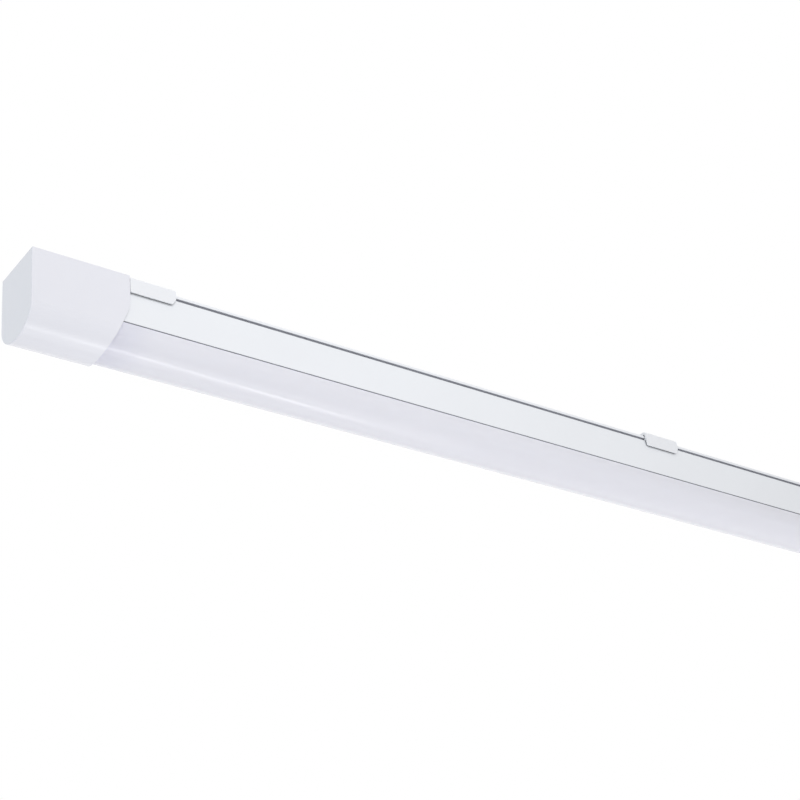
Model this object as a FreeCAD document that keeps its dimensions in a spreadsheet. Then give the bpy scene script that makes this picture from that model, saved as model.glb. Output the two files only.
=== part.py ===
import FreeCAD, Part
import math
import operator
import os

import Sketcher

# Linear ceiling light with a D section, an opal cover, two end caps and three clip brackets.
# Millimetres. X runs along the light, Z is up, and the origin is on the ceiling over its middle.

SIZES = {
    # end caps, which set the outline of the whole section
    "lightLength": 1200.0,
    "capWidth": 48.5,
    "capSideDepth": 44.0,
    "capNoseDepth": 19.5,
    "capCornerRadius": 16.0,
    "capWall": 1.9,
    "capEndWall": 2.2,
    "capEdgeChamfer": 0.5,
    "capClearance": 0.3,
    "capLength": 76.2,
    "capUndersideLength": 61.3,
    "capEdgeBendDepth": 27.0,
    "capEdgeBendRadius": 30.0,
    "capTongueStart": 11.0,
    "capTongueEnd": 68.0,
    "capTongueClearance": 0.4,
    "capStopWidth": 3.2,
    "capStopTop": 12.0,
    "capStopFoot": 37.0,
    "capRibWall": 1.6,
    "capRibSpacing": 9.0,
    "capSlotStart": 12.0,
    "capSlotWidth": 20.0,
    # extruded housing
    "housingSetback": 5.0,
    "housingDrop": 3.1,
    "housingWall": 1.3,
    "housingSideFoot": 39.3,
    "grooveTop": 6.4,
    "grooveHeight": 2.4,
    "grooveDepth": 2.0,
    "trayTop": 33.0,
    "railWall": 1.2,
    "railLip": 2.5,
    "snapRibTop": 36.2,
    "snapRibHeight": 1.2,
    "snapRibReach": 1.0,
    "entrySetback": 25.0,
    "entryWidth": 13.0,
    "wireSlotLength": 7.0,
    "wireSlotNear": 1.0,
    "wireSlotFar": 11.0,
    # opal cover
    "coverSetback": 5.5,
    "coverWall": 1.6,
    "coverJointGap": 0.9,
    "coverFlangeWall": 1.4,
    "coverHookHeight": 1.1,
    "coverSnapClearance": 0.2,
    # brackets
    "bracketLength": 37.5,
    "bracketBase": 2.8,
    "bracketGap": 0.3,
    "bracketArmDepth": 13.8,
    "bracketArmClearance": 0.3,
    "bracketKnuckleClearance": 0.1,
    "bracketBaseShortfall": 0.95,
    "bracketHookHeight": 1.8,
    "bracketHookTip": 1.0,
    "bracketHookFloorGap": 0.55,
    "bracketHookRest": 0.3,
    "bracketTabWall": 1.2,
    "bracketTabStep": 0.8,
    "bracketCornerLength": 3.4,
    "bracketCornerHeight": 5.0,
    "bracketScrewSpacing": 22.0,
    "bracketScrewHole": 4.5,
    "bracketCountersink": 1.6,
    # light-emitting boards
    "boardWidth": 20.0,
    "boardWall": 1.6,
    "boardClearance": 0.2,
    "boardMiddleGap": 8.0,
    "boardEndGap": 10.0,
    "ledLength": 3.5,
    "ledWidth": 2.8,
    "ledHeight": 0.8,
    "ledEndGap": 6.3,
    "ledFarGap": 7.2,
    "plugLength": 8.0,
    "plugWidth": 5.8,
    "plugHeight": 3.6,
    "plugEdgeGap": 4.5,
    "plugOffset": 1.5,
    "plugPitch": 1.9,
    # driver
    "driverMiddleGap": 90.0,
    "driverLength": 240.0,
    "driverWidth": 30.0,
    "driverHeight": 21.0,
    "driverWall": 1.5,
    "driverLidLip": 1.2,
    "driverLidClearance": 0.2,
    "driverPortWidth": 18.0,
    "driverPortHeight": 5.0,
    "driverPortRise": 9.0,
    "driverEarLength": 9.0,
    "driverEarWidth": 12.0,
    "driverEarHeight": 2.0,
    "driverBoardRise": 4.0,
    "driverBoardWall": 1.6,
    "driverBoardGap": 0.4,
    "driverBossWidth": 5.0,
    "chokeLength": 14.0,
    "chokeWidth": 12.0,
    "chokeHeight": 9.0,
    "chokeStart": 30.0,
    "transformerLength": 22.0,
    "transformerWidth": 20.0,
    "transformerHeight": 12.0,
    "transformerStart": 120.0,
    "capacitorRadius": 5.0,
    "capacitorLength": 20.0,
    "capacitorStart": 70.0,
    # supply terminal
    "terminalSetback": 45.0,
    "terminalLength": 20.0,
    "terminalWidth": 30.0,
    "terminalHeight": 19.0,
    "terminalPitch": 9.0,
    "terminalEntry": 3.4,
    "terminalEntryRise": 5.6,
    "terminalEntryDepth": 12.0,
    "terminalOutletDepth": 5.0,
    "terminalOutletRise": 5.6,
    "terminalFootLength": 8.0,
    "terminalFootHeight": 3.0,
    "terminalContactWall": 0.6,
    "buttonWidth": 4.4,
    "buttonHeight": 5.0,
    "buttonRise": 13.4,
    "buttonLength": 8.0,
    "buttonProud": 2.2,
    "buttonClearance": 0.2,
    "buttonTravel": 1.5,
    "buttonNose": 0.6,
    # fasteners
    "screwShank": 3.0,
    "screwHead": 5.6,
    "screwHeadHeight": 2.0,
    "screwSlotWidth": 0.9,
    "screwSlotDepth": 0.9,
    "screwClearance": 0.1,
    "earthGap": 75.0,
    "earthSide": 8.0,
    "earthWasher": 8.0,
    "earthWasherWall": 0.8,
    "earthLugRing": 7.4,
    "earthLugWall": 0.8,
    "earthLugReach": 12.0,
    "earthLugWidth": 4.4,
    # grommets
    "grommetFlange": 17.0,
    "grommetTopFlange": 2.0,
    "grommetFootFlange": 2.0,
    "grommetBore": 8.0,
    "grommetClearance": 0.1,
    "grommetMembrane": 1.0,
    # wires
    "mainsWire": 2.2,
    "mainsBend": 7.0,
    "mainsRouteGap": 2.6,
    "wireRunIn": 12.0,
    "wireTrayGap": 0.4,
    "outputWire": 1.4,
    "outputBend": 2.6,
    "saddleLength": 9.0,
    "saddleWall": 1.0,
    "saddleGap": 0.2,
    # shared overrun of every through cut
    "overrun": 5.0,
}
LEDS_PER_BOARD = 48
SADDLE_PLACE_SHARES = (0.3, 0.72)  # places of the saddles along the mains wires' straight run
POLE_STEPS = {"live": -1, "neutral": 0, "earth": 1}  # terminal poles across the light

doc = FreeCAD.newDocument("linear_light")
sheet = doc.addObject("Spreadsheet::Sheet", "Sizes")
for row, (alias, number) in enumerate(SIZES.items(), 1):
    sheet.set(f"A{row}", alias)
    sheet.set(f"B{row}", str(number))
    sheet.setAlias(f"B{row}", alias)
doc.recompute()


class Size:
    """A length that keeps the sheet formula it comes from."""

    def __init__(self, number, formula):
        self.number = number
        self.formula = formula

    def __add__(self, other):
        return joined(self, "+", other)

    def __radd__(self, other):
        return joined(other, "+", self)

    def __sub__(self, other):
        return joined(self, "-", other)

    def __rsub__(self, other):
        return joined(other, "-", self)

    def __mul__(self, other):
        return joined(self, "*", other)

    def __rmul__(self, other):
        return joined(other, "*", self)

    def __truediv__(self, other):
        return joined(self, "/", other)

    def __neg__(self):
        return joined(0, "-", self)

    def __float__(self):
        return float(self.number)


OPERATIONS = {"+": operator.add, "-": operator.sub, "*": operator.mul, "/": operator.truediv}


def formula_of(value):
    return value.formula if isinstance(value, Size) else str(value)


def joined(left, sign, right):
    """The sum, difference, product or ratio of two lengths, with its formula."""
    number = OPERATIONS[sign](float(left), float(right))
    return Size(number, f"({formula_of(left)} {sign} {formula_of(right)})")


def root(value):
    """The square root of a length formula."""
    return Size(math.sqrt(float(value)), f"sqrt({formula_of(value)})")


class SheetSizes:
    """Reads the sheet's cells by their aliases."""

    def __getattr__(self, alias):
        return Size(float(sheet.get(alias)), f"Sizes.{alias}")


size = SheetSizes()
subparts = []


# Sketch and feature helpers

def new_body(label):
    body = doc.addObject("PartDesign::Body", label)
    body.Label = label
    subparts.append(body)
    return body


def origin_feature(body, role):
    return next(f for f in body.Origin.OriginFeatures if f.Role == role)


def new_sketch(body, role, offset=0):
    """A sketch on one of the body's origin planes, moved along that plane's normal."""
    sketch = body.newObject("Sketcher::SketchObject", f"{body.Label}_sketch")
    sketch.AttachmentSupport = [(origin_feature(body, role), "")]
    sketch.MapMode = "FlatFace"
    if isinstance(offset, Size):
        sketch.setExpression("AttachmentOffset.Base.z", offset.formula)
    return sketch


def bind(sketch, kind, place, value):
    """A dimension on a sketch, bound to its formula."""
    index = sketch.addConstraint(Sketcher.Constraint(kind, *place, float(value)))
    if isinstance(value, Size):
        sketch.setExpression(f"Constraints[{index}]", value.formula)


def point(corner):
    return FreeCAD.Vector(float(corner[0]), float(corner[1]), 0)


def edge_between(start, end):
    """A straight edge, or an arc when the start corner names (radius, centre)."""
    if len(start) == 2:
        return Part.LineSegment(point(start), point(end))
    radius, centre = start[2]
    away = (point(start) + point(end)) * 0.5 - point(centre)
    middle = point(centre) + away * (float(radius) / away.Length)
    return Part.Arc(point(start), middle, point(end))


def draw_loop(sketch, corners):
    """A closed loop. A corner is (across, up), with (radius, centre) after it when an arc leaves it."""
    count = len(corners)
    edges = []
    for i, corner in enumerate(corners):
        following = corners[(i + 1) % count]
        index = sketch.addGeometry(edge_between(corner, following), False)
        begins = (sketch.getPoint(index, 1) - point(corner)).Length
        flipped = begins > (sketch.getPoint(index, 2) - point(corner)).Length
        edges.append((index, 2, 1) if flipped else (index, 1, 2))
    for i, (index, first, last) in enumerate(edges):
        following, following_first, _ = edges[(i + 1) % count]
        sketch.addConstraint(Sketcher.Constraint("Coincident", index, last, following, following_first))
        bind(sketch, "DistanceX", (-1, 1, index, first), corners[i][0])
        bind(sketch, "DistanceY", (-1, 1, index, first), corners[i][1])
        if len(corners[i]) == 3:
            bind(sketch, "Radius", (index,), corners[i][2][0])


def draw_box(sketch, low, high):
    draw_loop(sketch, [low, (high[0], low[1]), high, (low[0], high[1])])


def draw_circle(sketch, centre, radius):
    circle = Part.Circle(point(centre), FreeCAD.Vector(0, 0, 1), float(radius))
    index = sketch.addGeometry(circle, False)
    bind(sketch, "DistanceX", (-1, 1, index, 3), centre[0])
    bind(sketch, "DistanceY", (-1, 1, index, 3), centre[1])
    bind(sketch, "Radius", (index,), radius)


def pad(body, sketch, length, middle=False):
    feature = body.newObject("PartDesign::Pad", f"{body.Label}_pad")
    feature.Profile = sketch
    feature.setExpression("Length", formula_of(length))
    feature.Midplane = middle
    doc.recompute()
    return feature


def pocket(body, sketch, length, middle=False, forward=True):
    """Cuts along the sketch's normal when forward, and stops the script if it cuts nothing."""
    before = body.Shape.Volume
    feature = body.newObject("PartDesign::Pocket", f"{body.Label}_pocket")
    feature.Profile = sketch
    feature.setExpression("Length", formula_of(length))
    feature.Midplane = middle
    feature.Reversed = forward
    doc.recompute()
    if not body.Shape.Volume < before:
        raise ValueError(f"a pocket in {body.Label} cuts nothing")
    return feature


def add_box(body, low, high):
    """Adds a block between two corners given as (x, y, z)."""
    sketch = new_sketch(body, "XY_Plane", as_size(low[2]))
    draw_box(sketch, low[:2], high[:2])
    return pad(body, sketch, high[2] - low[2])


def cut_box(body, low, high):
    """Cuts a block between two corners given as (x, y, z)."""
    sketch = new_sketch(body, "XY_Plane", as_size(low[2]))
    draw_box(sketch, low[:2], high[:2])
    return pocket(body, sketch, high[2] - low[2])


def add_turned(body, centre, steps, top):
    """Adds discs downwards from top, each step being (radius, height)."""
    for radius, height in steps:
        sketch = new_sketch(body, "XY_Plane", as_size(top - height))
        draw_circle(sketch, centre, radius)
        pad(body, sketch, height)
        top = top - height


def as_size(value):
    return value if isinstance(value, Size) else Size(value, str(value))


def chosen_edges(shape, test):
    return [f"Edge{i}" for i, edge in enumerate(shape.Edges, 1) if test(edge)]


def turn_half(body):
    """Turns a body half round about the vertical axis, to serve the other end or side."""
    half_turn = 180
    body.Placement = FreeCAD.Placement(
        FreeCAD.Vector(0, 0, 0), FreeCAD.Rotation(FreeCAD.Vector(0, 0, 1), half_turn)
    )


# Levels and widths that several pieces share

half_length = size.lightLength / 2
cap_half = size.capWidth / 2
body_inset = size.capWall + size.capClearance
body_half = cap_half - body_inset
body_inner = body_half - size.housingWall
groove_floor = body_half - size.grooveDepth
groove_foot = size.grooveTop + size.grooveHeight
housing_end = half_length - size.housingSetback
tray_foot = size.trayTop + size.housingWall
board_top = tray_foot + size.boardClearance
board_foot = board_top + size.boardWall
rail_lip_top = board_foot + size.boardClearance
rail_foot = rail_lip_top + size.railWall
rail_inner = size.boardWidth / 2 + size.boardClearance
rail_outer = rail_inner + size.railWall
snap_rib_foot = size.snapRibTop + size.snapRibHeight
snap_rib_tip = body_inner - size.snapRibReach


def nose_arcs(inset):
    """The three arcs of the rounded underside, as seen from its right end, set in by inset."""
    corner = size.capCornerRadius
    run = cap_half - corner
    nose = (run * run + size.capNoseDepth * size.capNoseDepth - corner * corner) / (
        2 * (size.capNoseDepth - corner)
    )
    rise = nose - size.capNoseDepth
    share = (nose - inset) / (nose - corner)
    side = cap_half - inset
    joint_across = run * share
    joint_up = rise - rise * share - size.capSideDepth
    spring = 0 - size.capSideDepth
    right_centre, left_centre = (run, spring), (0 - run, spring)
    nose_centre = (0, rise - size.capSideDepth)
    return [
        (side, spring, (corner - inset, right_centre)),
        (joint_across, joint_up, (nose - inset, nose_centre)),
        (0 - joint_across, joint_up, (corner - inset, left_centre)),
        (0 - side, spring),
    ]


def reversed_arcs(arcs):
    """The same arcs followed the other way."""
    corners = []
    for i in range(len(arcs) - 1, -1, -1):
        corner = arcs[i][:2]
        corners.append(corner + arcs[i - 1][2:] if i else corner)
    return corners


def mirrored(corners):
    """Corners of the left half, from the right half's, followed the other way."""
    return [(0 - across, up) for across, up in reversed(corners)]


# Housing and cover

def housing():
    body = new_body("housing_profile")
    outer_half = [
        (body_half, 0 - size.housingDrop),
        (body_half, 0 - size.grooveTop),
        (groove_floor, 0 - size.grooveTop),
        (groove_floor, 0 - groove_foot),
        (body_half, 0 - groove_foot),
        (body_half, 0 - size.housingSideFoot),
        (body_inner, 0 - size.housingSideFoot),
        (body_inner, 0 - snap_rib_foot),
        (snap_rib_tip, 0 - snap_rib_foot),
        (snap_rib_tip, 0 - size.snapRibTop),
        (body_inner, 0 - size.snapRibTop),
        (body_inner, 0 - tray_foot),
        (rail_outer, 0 - tray_foot),
        (rail_outer, 0 - rail_foot),
        (rail_outer - size.railLip, 0 - rail_foot),
        (rail_outer - size.railLip, 0 - rail_lip_top),
        (rail_inner, 0 - rail_lip_top),
        (rail_inner, 0 - tray_foot),
    ]
    groove_back = groove_floor - size.housingWall
    cavity_half = [
        (groove_back, 0 - size.housingDrop - size.housingWall),
        (groove_back, 0 - groove_foot - size.housingWall),
        (body_inner, 0 - groove_foot - size.housingWall),
        (body_inner, 0 - size.trayTop),
    ]
    sketch = new_sketch(body, "YZ_Plane")
    draw_loop(sketch, outer_half + mirrored(outer_half))
    draw_loop(sketch, cavity_half + mirrored(cavity_half))
    pad(body, sketch, housing_end * 2, middle=True)
    cut_entries(body)
    cut_tray_holes(body)
    return body


def entry_middle(side):
    """Where the cable entry at the left end (side -1) or the right end (side 1) is along the light."""
    return (half_length - size.entrySetback) * side


def cut_entries(body):
    """Square cable entries through the top wall, one near each end."""
    below = as_size(0 - size.housingDrop - size.housingWall - size.capClearance)
    sketch = new_sketch(body, "XY_Plane", below)
    half = size.entryWidth / 2
    for side in (-1, 1):
        middle = entry_middle(side)
        draw_box(sketch, (middle - half, 0 - half), (middle + half, half))
    pocket(body, sketch, size.housingWall + size.capClearance * 2)


def cut_tray_holes(body):
    """The slot for the board wires and the screw holes, through the tray."""
    sketch = new_sketch(body, "XY_Plane", as_size(0 - tray_foot - size.capClearance))
    half = size.wireSlotLength / 2
    draw_box(sketch, (0 - half, size.wireSlotNear), (half, size.wireSlotFar))
    hole = size.screwShank / 2 + size.screwClearance
    for place in screw_places():
        draw_circle(sketch, place, hole)
    pocket(body, sketch, size.housingWall + size.capClearance * 2)


def driver_ends():
    """The driver case's two ends along the light."""
    far = 0 - size.driverMiddleGap
    return far - size.driverLength, far


def terminal_ends():
    front = 0 - half_length + size.terminalSetback
    return front, front + size.terminalLength


def driver_screw_places():
    near, far = driver_ends()
    return [(near - size.driverEarLength / 2, 0), (far + size.driverEarLength / 2, 0)]


def terminal_screw_place():
    return terminal_ends()[1] + size.terminalFootLength / 2, size.terminalPitch / 2


def earth_place():
    return terminal_ends()[1] + size.earthGap, size.earthSide


def screw_places():
    return [*driver_screw_places(), terminal_screw_place(), earth_place()]


def cover():
    """The opal cover: a rounded trough whose flanges hook over the housing's snap ribs."""
    body = new_body("diffuser_cover")
    shoulder = size.housingSideFoot + size.coverJointGap
    gap = size.coverSnapClearance
    hook_tip = body_inner - gap
    flange_face = snap_rib_tip - gap
    flange_inner = flange_face - size.coverFlangeWall
    hook_foot = size.snapRibTop - gap
    hook_top = hook_foot - size.coverHookHeight
    rib_seat = snap_rib_foot + gap
    wall_inner = body_half - size.coverWall
    ledge = shoulder + size.coverWall
    outer_half = [
        (flange_inner, 0 - hook_top),
        (hook_tip, 0 - hook_top),
        (hook_tip, 0 - hook_foot),
        (flange_face, 0 - hook_foot),
        (flange_face, 0 - rib_seat),
        (hook_tip, 0 - rib_seat),
        (hook_tip, 0 - shoulder),
        (body_half, 0 - shoulder),
    ]
    inner_half = [
        (wall_inner, 0 - ledge),
        (flange_inner, 0 - ledge),
    ]
    corners = outer_half + nose_arcs(body_inset) + mirrored(outer_half)
    corners += [(0 - across, up) for across, up in reversed(inner_half)]
    corners += reversed_arcs(nose_arcs(body_inset + size.coverWall))
    corners += inner_half
    sketch = new_sketch(body, "YZ_Plane")
    draw_loop(sketch, corners)
    pad(body, sketch, (half_length - size.coverSetback) * 2, middle=True)
    return body


# End caps

def section_loop(inset, top):
    """The D section set in by inset, closed by a flat top."""
    side = cap_half - inset
    return [(side, 0 - top), *nose_arcs(inset), (0 - side, 0 - top)]


def end_cap(label):
    """A moulded cap for the left end: a slanted inner edge, tongues for the grooves, a slot for the cable."""
    body = new_body(label)
    outer_end = 0 - half_length
    sketch = new_sketch(body, "YZ_Plane", outer_end)
    draw_loop(sketch, section_loop(0, as_size(0)))
    blank = pad(body, sketch, size.capLength)
    end_plane = float(outer_end)
    rim = chosen_edges(blank.Shape, lambda e: abs(e.BoundBox.XMax - end_plane) < 1e-6)
    softened = body.newObject("PartDesign::Chamfer", f"{label}_rim")
    softened.Base = (blank, rim)
    softened.setExpression("Size", size.capEdgeChamfer.formula)
    doc.recompute()
    sketch = new_sketch(body, "YZ_Plane", outer_end + size.capEndWall)
    draw_loop(sketch, section_loop(size.capWall, size.capWall))
    pocket(body, sketch, size.capLength)
    add_cap_stops(body, outer_end)
    add_cap_tongues(body, outer_end)
    slant_cap_edge(body, outer_end)
    half = size.capSlotWidth / 2
    cut_box(
        body,
        (outer_end + size.capSlotStart, 0 - half, 0 - size.capWall - size.capClearance),
        (outer_end + size.capLength + size.overrun, half, as_size(0) + size.overrun),
    )
    return body


def slant_cap_edge(body, outer_end):
    """Cuts the cap's inner edge: straight down at first, then back towards the end, through a bend."""
    depth = size.capSideDepth + size.capNoseDepth
    run = size.capLength - size.capUndersideLength
    fall = depth - size.capEdgeBendDepth
    slant = root(run * run + fall * fall)
    tangent = size.capEdgeBendRadius * (slant - fall) / run
    edge = outer_end + size.capLength
    bend_top = (edge, 0 - size.capEdgeBendDepth + tangent)
    bend_foot = (edge - run * tangent / slant, 0 - size.capEdgeBendDepth - fall * tangent / slant)
    centre = (edge - size.capEdgeBendRadius, bend_top[1])
    past = (size.overrun + fall) / fall
    sketch = new_sketch(body, "XZ_Plane")
    corners = [
        (edge, size.overrun),
        bend_top + ((size.capEdgeBendRadius, centre),),
        bend_foot,
        (edge - run * past, 0 - size.capEdgeBendDepth - fall * past),
        (edge + size.overrun, 0 - size.capEdgeBendDepth - fall * past),
        (edge + size.overrun, size.overrun),
    ]
    draw_loop(sketch, corners)
    pocket(body, sketch, size.capWidth + size.overrun, middle=True)


def add_cap_stops(body, outer_end):
    """Pads inside the end wall that the housing's end comes up against, joined by ribs."""
    sketch = new_sketch(body, "YZ_Plane", outer_end + size.capEndWall)
    side = cap_half - size.capWall
    inner = side - size.capStopWidth
    top, foot = 0 - size.capStopTop, 0 - size.capStopFoot
    upper_rib, lower_rib = top - size.capRibSpacing, foot + size.capRibSpacing
    draw_loop(sketch, [
        (side, top), (side, foot), (inner, foot), (inner, lower_rib), (0 - inner, lower_rib),
        (0 - inner, foot), (0 - side, foot), (0 - side, top), (0 - inner, top),
        (0 - inner, upper_rib), (inner, upper_rib), (inner, top),
    ])
    draw_box(
        sketch,
        (size.capRibWall - inner, lower_rib + size.capRibWall),
        (inner - size.capRibWall, upper_rib - size.capRibWall),
    )
    pad(body, sketch, size.housingSetback - size.capEndWall - size.capClearance)


def add_cap_tongues(body, outer_end):
    """Tongues inside the cap's sides that slide in the housing's grooves."""
    sketch = new_sketch(body, "YZ_Plane", outer_end + size.capTongueStart)
    side = cap_half - size.capWall
    tip = groove_floor + size.capTongueClearance
    top = 0 - size.grooveTop - size.capTongueClearance
    foot = 0 - groove_foot + size.capTongueClearance
    draw_box(sketch, (tip, foot), (side, top))
    draw_box(sketch, (0 - side, foot), (0 - tip, top))
    pad(body, sketch, size.capTongueEnd - size.capTongueStart)


# Brackets

knuckle_radius = size.bracketBase / 2
knuckle_across = cap_half - knuckle_radius
knuckle_up = 0 - knuckle_radius


def bracket_middles():
    """Middles of the left, centre and right brackets along the light."""
    reach = half_length - size.capLength - size.bracketGap - size.bracketLength / 2
    return {"left": 0 - reach, "centre": as_size(0), "right": reach}


def bracket_base(label, middle):
    """The plate against the ceiling, with two countersunk screw holes and seats for the arms."""
    body = new_body(label)
    seat = knuckle_radius + size.bracketKnuckleClearance
    reach = knuckle_across - size.bracketBaseShortfall
    half_seat = root(seat * seat - size.bracketBaseShortfall * size.bracketBaseShortfall)
    right_centre, left_centre = (knuckle_across, knuckle_up), (0 - knuckle_across, knuckle_up)
    sketch = new_sketch(body, "YZ_Plane", middle - size.bracketLength / 2)
    draw_loop(sketch, [
        (reach, 0),
        (reach, knuckle_up + half_seat, (seat, right_centre)),
        (reach, knuckle_up - half_seat),
        (reach, 0 - size.bracketBase),
        (0 - reach, 0 - size.bracketBase),
        (0 - reach, knuckle_up - half_seat, (seat, left_centre)),
        (0 - reach, knuckle_up + half_seat),
        (0 - reach, 0),
    ])
    pad(body, sketch, size.bracketLength)
    sketch = new_sketch(body, "XY_Plane", as_size(0 - size.bracketBase - size.overrun))
    for side in (-1, 1):
        draw_circle(sketch, (middle + size.bracketScrewSpacing / 2 * side, 0), size.bracketScrewHole / 2)
    holes = pocket(body, sketch, size.bracketBase + size.overrun * 2)
    foot = -float(size.bracketBase)
    rims = chosen_edges(
        holes.Shape, lambda e: isinstance(e.Curve, Part.Circle) and abs(e.CenterOfMass.z - foot) < 1e-6
    )
    sink = body.newObject("PartDesign::Chamfer", f"{label}_sink")
    sink.Base = (holes, rims)
    sink.setExpression("Size", size.bracketCountersink.formula)
    doc.recompute()
    return body


def bracket_arm(label, middle, turned):
    """A snap arm: a knuckle at the ceiling, a hook in the housing's groove and a finger tab below it."""
    body = new_body(label)
    centre = (knuckle_across, knuckle_up)
    inner = body_half + size.bracketArmClearance
    lean = knuckle_across - inner
    meets = knuckle_up - root(knuckle_radius * knuckle_radius - lean * lean)
    hook_top = 0 - size.grooveTop - size.bracketHookRest
    tip = groove_floor + size.bracketHookFloorGap
    tab_inner = cap_half - size.bracketTabWall
    foot = 0 - size.bracketArmDepth
    place = 0 - middle if turned else middle
    sketch = new_sketch(body, "YZ_Plane", place - size.bracketLength / 2)
    draw_loop(sketch, [
        (cap_half, knuckle_up),
        (cap_half, foot),
        (tab_inner, foot),
        (tab_inner, hook_top - size.bracketHookHeight - size.bracketTabStep),
        (inner, hook_top - size.bracketHookHeight),
        (tip, hook_top - size.bracketHookTip),
        (tip, hook_top),
        (inner, hook_top),
        (inner, meets, (knuckle_radius, centre)),
        (knuckle_across, 0, (knuckle_radius, centre)),
    ])
    pad(body, sketch, size.bracketLength)
    trim_arm_corner(body, place, foot)
    if turned:
        turn_half(body)
    return body


def trim_arm_corner(body, place, foot):
    """Cuts the finger tab's lower right corner, as seen by someone who faces the tab."""
    sketch = new_sketch(body, "XZ_Plane")
    edge = place - size.bracketLength / 2
    draw_loop(sketch, [
        (edge + size.bracketCornerLength, foot),
        (edge, foot + size.bracketCornerHeight),
        (edge - size.overrun, foot + size.bracketCornerHeight),
        (edge - size.overrun, foot - size.overrun),
        (edge + size.bracketCornerLength, foot - size.overrun),
    ])
    pocket(body, sketch, size.capWidth + size.overrun, middle=True)


# Light-emitting boards

def board_span(side):
    """The near and far end of a board; side is -1 for the left one and 1 for the right one."""
    near, far = size.boardMiddleGap / 2, housing_end - size.boardEndGap
    return (near, far) if side > 0 else (0 - far, 0 - near)


def led_board(label, side):
    body = new_body(label)
    low, high = board_span(side)
    half = size.boardWidth / 2
    add_box(body, (low, 0 - half, 0 - board_foot), (high, half, 0 - board_top))
    return body


def led_packages(label, side):
    """A row of surface-mounted packages under a board."""
    body = new_body(label)
    low, high = board_span(side)
    start = low + size.ledEndGap
    row_length = high - start - size.ledFarGap - size.ledLength
    half = size.ledWidth / 2
    first = add_box(
        body,
        (start, 0 - half, 0 - board_foot - size.ledHeight),
        (start + size.ledLength, half, 0 - board_foot),
    )
    row_of = body.newObject("PartDesign::LinearPattern", f"{label}_row")
    row_of.Originals = [first]
    row_of.Direction = (origin_feature(body, "X_Axis"), [""])
    row_of.setExpression("Length", row_length.formula)
    row_of.Occurrences = LEDS_PER_BOARD
    body.Tip = row_of
    doc.recompute()
    return body


def plug_span(side):
    """The board plug's ends along the light, the one at the wire first."""
    near = (size.boardMiddleGap / 2 + size.plugEdgeGap) * side
    return near, near + size.plugLength * side


def board_plug(label, side):
    """The three-way plug that takes the wires, on the light-emitting face of a board."""
    body = new_body(label)
    near, far = plug_span(side)
    low, high = (near, far) if side > 0 else (far, near)
    across = size.ledWidth / 2 + size.plugOffset
    add_box(
        body,
        (low, across, 0 - board_foot - size.plugHeight),
        (high, across + size.plugWidth, 0 - board_foot),
    )
    return body


# Driver

def driver_case():
    """An open-topped tub on the tray, with a port at each end and an ear for each screw."""
    body = new_body("driver_case")
    near, far = driver_ends()
    half = size.driverWidth / 2
    floor = 0 - size.trayTop
    top = floor + size.driverHeight
    wall = size.driverWall
    add_box(body, (near, 0 - half, floor), (far, half, top))
    cut_box(body, (near + wall, wall - half, floor + wall), (far - wall, half - wall, top + size.overrun))
    port = size.driverPortWidth / 2
    rise = floor + size.driverPortRise
    cut_box(
        body,
        (near - size.overrun, 0 - port, rise),
        (far + size.overrun, port, rise + size.driverPortHeight),
    )
    ear = size.driverEarWidth / 2
    for low, high in ((near - size.driverEarLength, near), (far, far + size.driverEarLength)):
        add_box(body, (low, 0 - ear, floor), (high, ear, floor + size.driverEarHeight))
    for end in (near + wall, far - wall - size.driverBossWidth):
        add_box(
            body,
            (end, wall - half, floor + wall),
            (end + size.driverBossWidth, half - wall, floor + size.driverBoardRise),
        )
    cut_holes(body, driver_screw_places(), floor, size.driverEarHeight)
    return body


def cut_holes(body, places, floor, height):
    """Screw holes through a foot or an ear that stands on the floor."""
    sketch = new_sketch(body, "XY_Plane", as_size(floor - size.overrun))
    for place in places:
        draw_circle(sketch, place, size.screwShank / 2 + size.screwClearance)
    pocket(body, sketch, height + size.overrun)


def driver_lid():
    """A lid whose lip drops inside the tub."""
    body = new_body("driver_lid")
    near, far = driver_ends()
    half = size.driverWidth / 2
    top = size.driverHeight - size.trayTop
    inset = size.driverWall + size.driverLidClearance
    add_box(body, (near, 0 - half, top), (far, half, top + size.driverWall))
    add_box(body, (near + inset, inset - half, top - size.driverLidLip), (far - inset, half - inset, top))
    inner = inset + size.driverWall
    cut_box(
        body,
        (near + inner, inner - half, top - size.driverLidLip - size.overrun),
        (far - inner, half - inner, top),
    )
    return body


def driver_board():
    body = new_body("driver_board")
    near, far = driver_ends()
    inset = size.driverWall + size.driverBoardGap
    half = size.driverWidth / 2 - inset
    level = size.driverBoardRise - size.trayTop
    add_box(body, (near + inset, 0 - half, level), (far - inset, half, level + size.driverBoardWall))
    return body


def component_level():
    """The driver board's upper face."""
    return size.driverBoardRise + size.driverBoardWall - size.trayTop


def driver_block(label, start, length, width, height):
    """A wound component on the driver board."""
    body = new_body(label)
    low = driver_ends()[0] + start
    level = component_level()
    add_box(body, (low, 0 - width / 2, level), (low + length, width / 2, level + height))
    return body


def driver_capacitor():
    """The electrolytic capacitor, lying on the driver board."""
    body = new_body("driver_capacitor")
    sketch = new_sketch(body, "YZ_Plane", driver_ends()[0] + size.capacitorStart)
    draw_circle(sketch, (0, component_level() + size.capacitorRadius), size.capacitorRadius)
    pad(body, sketch, size.capacitorLength)
    return body


# Supply terminal

def pole_across(name):
    return size.terminalPitch * POLE_STEPS[name]


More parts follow.
